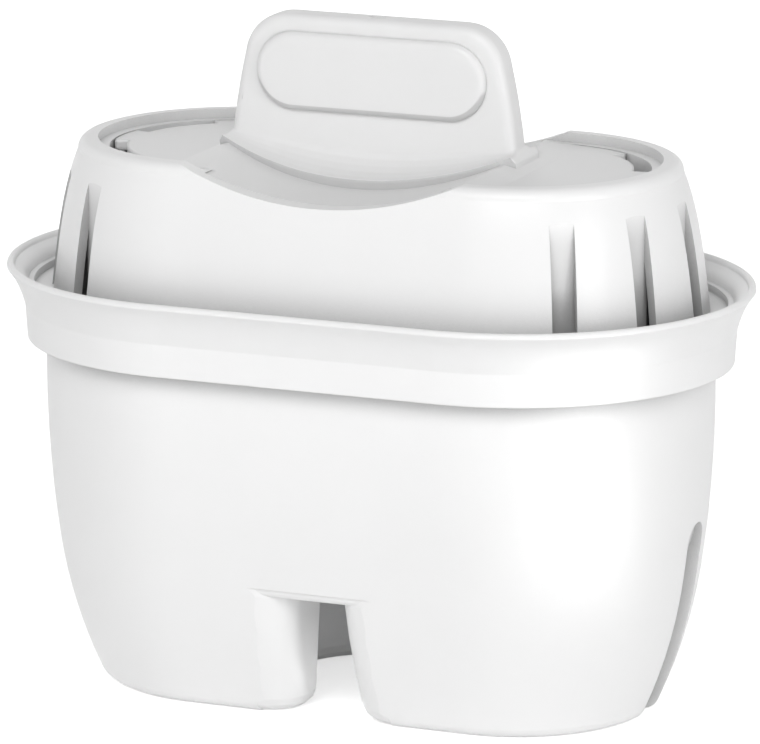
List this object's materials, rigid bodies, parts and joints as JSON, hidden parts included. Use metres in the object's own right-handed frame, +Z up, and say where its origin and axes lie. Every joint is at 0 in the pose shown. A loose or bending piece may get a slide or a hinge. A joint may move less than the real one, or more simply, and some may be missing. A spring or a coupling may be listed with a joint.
{
  "type": "water pitcher filter cartridge",
  "caption": "Oval drop-in filter cartridge for a water pitcher: tapered tub with a flared collar, tapered vented cap with inlet flutes, upright pull tab and notched underside.",
  "frame": {"origin": "centre of the underside, midway between the ends and between the long sides, on the plane the feet stand on", "axes": "+Z up towards the pull tab, +X along the long oval, +Y across it"},
  "size_m": [0.107, 0.0658, 0.0952],
  "materials": {
    "tub_white": "satin moulded white polypropylene",
    "cap_white": "glossy moulded white polypropylene",
    "grip_milky": "smooth, slightly translucent white polypropylene",
    "screen_mesh": "fine woven polyester screen",
    "granules": "granular activated carbon mixed with ion exchange resin beads"
  },
  "bodies": {
    "root": {"tub": "tub_white", "cap": "cap_white", "grip": "grip_milky", "inlet_screen": "screen_mesh", "outlet_screen": "screen_mesh", "granular_bed": "granules"}
  },
  "joints": []
}
